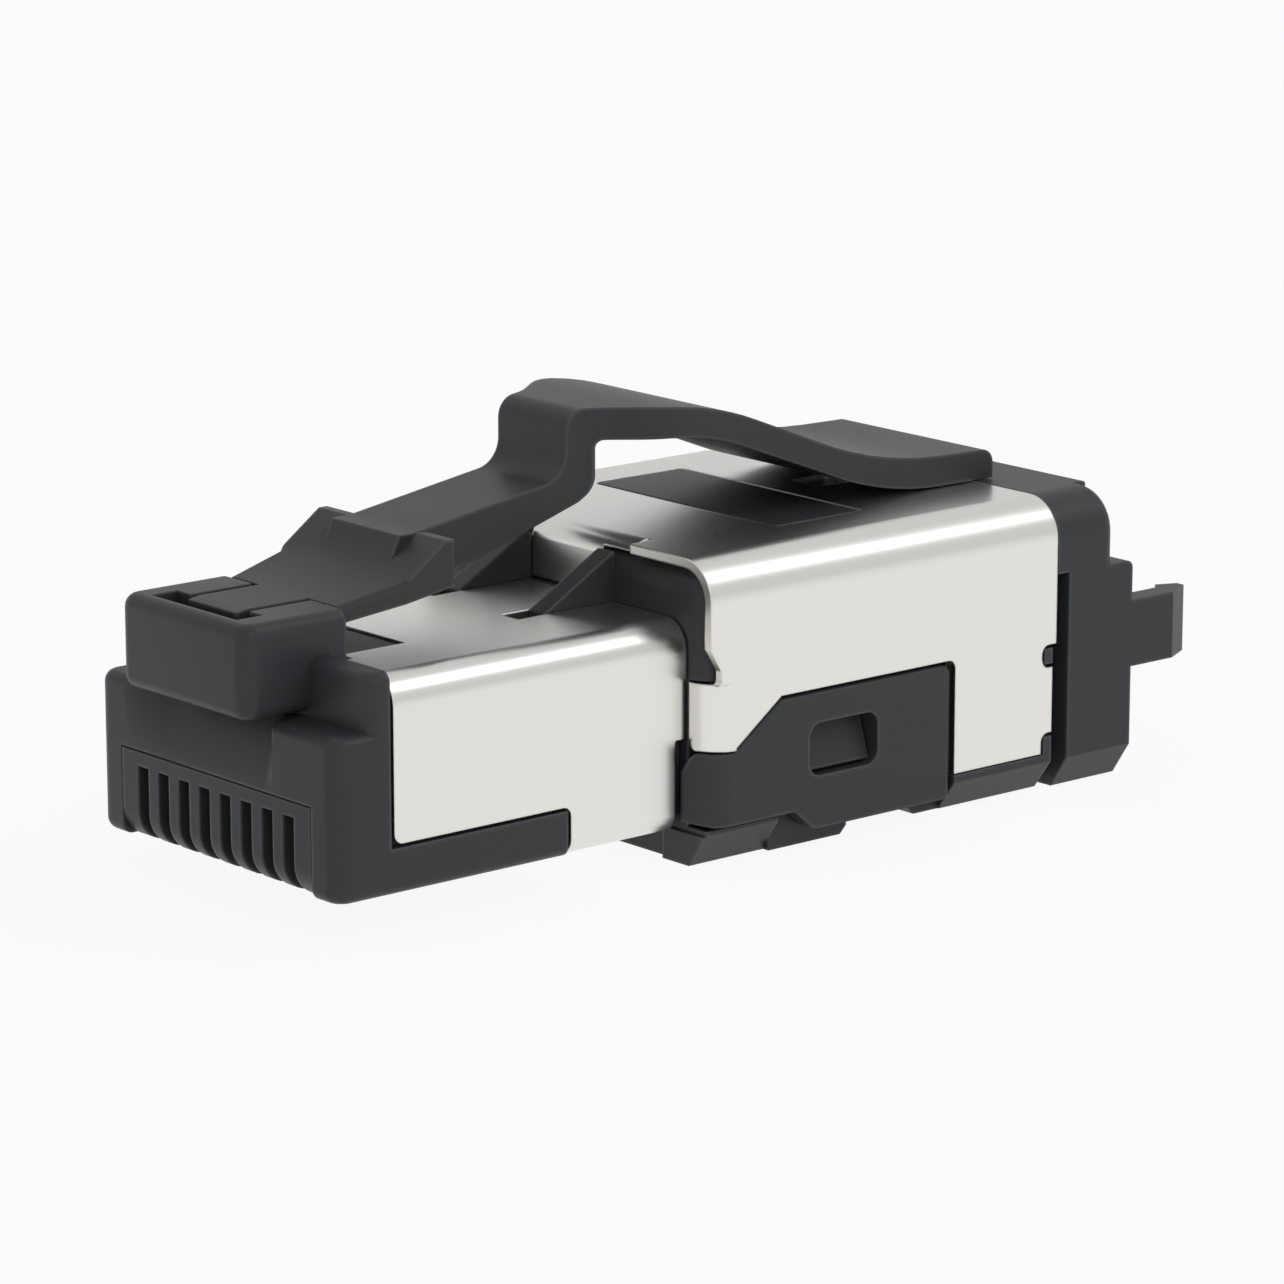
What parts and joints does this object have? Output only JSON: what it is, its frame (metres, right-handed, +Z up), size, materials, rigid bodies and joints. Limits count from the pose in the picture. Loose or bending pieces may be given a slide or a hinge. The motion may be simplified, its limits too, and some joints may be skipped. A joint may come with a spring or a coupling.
{
  "type": "field termination network plug",
  "caption": "Shielded modular network plug for field wiring, with a long sprung latch lever, a sheet metal screen, a snap cover and a rear cable cap.",
  "frame": {"origin": "centre of the nose's front face, halfway up the nose", "axes": "+X from the nose to the cable, +Y across the plug, +Z up to the latch lever"},
  "size_m": [0.0344, 0.014, 0.0133],
  "materials": {
    "nose_plastic": "fine satin moulding",
    "carrier_plastic": "fine satin moulding",
    "front_sheet": "nickel-plated sheet, satin",
    "rear_sheet": "nickel-plated sheet, satin",
    "housing_plastic": "fine satin moulding",
    "cover_plastic": "fine satin moulding",
    "cap_plastic": "fine satin moulding",
    "lever_plastic": "fine satin moulding",
    "board": "lacquered laminate",
    "block_plastic": "satin moulding",
    "organiser_plastic": "satin moulding",
    "divider_sheet": "plain",
    "ring_sheet": "sprung sheet",
    "seal": "soft moulding",
    "contact_metal": "gold-plated",
    "terminal_metal": "tin-plated"
  },
  "bodies": {
    "plug": {"nose_housing": "nose_plastic", "contact_carrier": "carrier_plastic", "front_screen": "front_sheet", "rear_screen": "rear_sheet", "main_housing": "housing_plastic", "snap_cover": "cover_plastic", "rear_cap": "cap_plastic", "circuit_board": "board", "terminal_block": "block_plastic", "wire_organiser": "organiser_plastic", "pair_divider": "divider_sheet", "screen_ring": "ring_sheet", "sealing_ring": "seal", "contact_1": "contact_metal", "contact_2": "contact_metal", "contact_3": "contact_metal", "contact_4": "contact_metal", "contact_5": "contact_metal", "contact_6": "contact_metal", "contact_7": "contact_metal", "contact_8": "contact_metal", "terminal_1": "terminal_metal", "terminal_2": "terminal_metal", "terminal_3": "terminal_metal", "terminal_4": "terminal_metal", "terminal_5": "terminal_metal", "terminal_6": "terminal_metal", "terminal_7": "terminal_metal", "terminal_8": "terminal_metal"},
    "latch": {"latch_lever": "lever_plastic"}
  },
  "joints": [
    {"name": "latch_press", "type": "hinge", "parent": "plug", "child": "latch", "pos_m": [0.0015, 0, 0.0038], "axis": [0, 1, 0], "range_deg": [0, 8], "stiffness_Nm_per_rad": 0.05, "deforming": ["latch_lever"]}
  ]
}
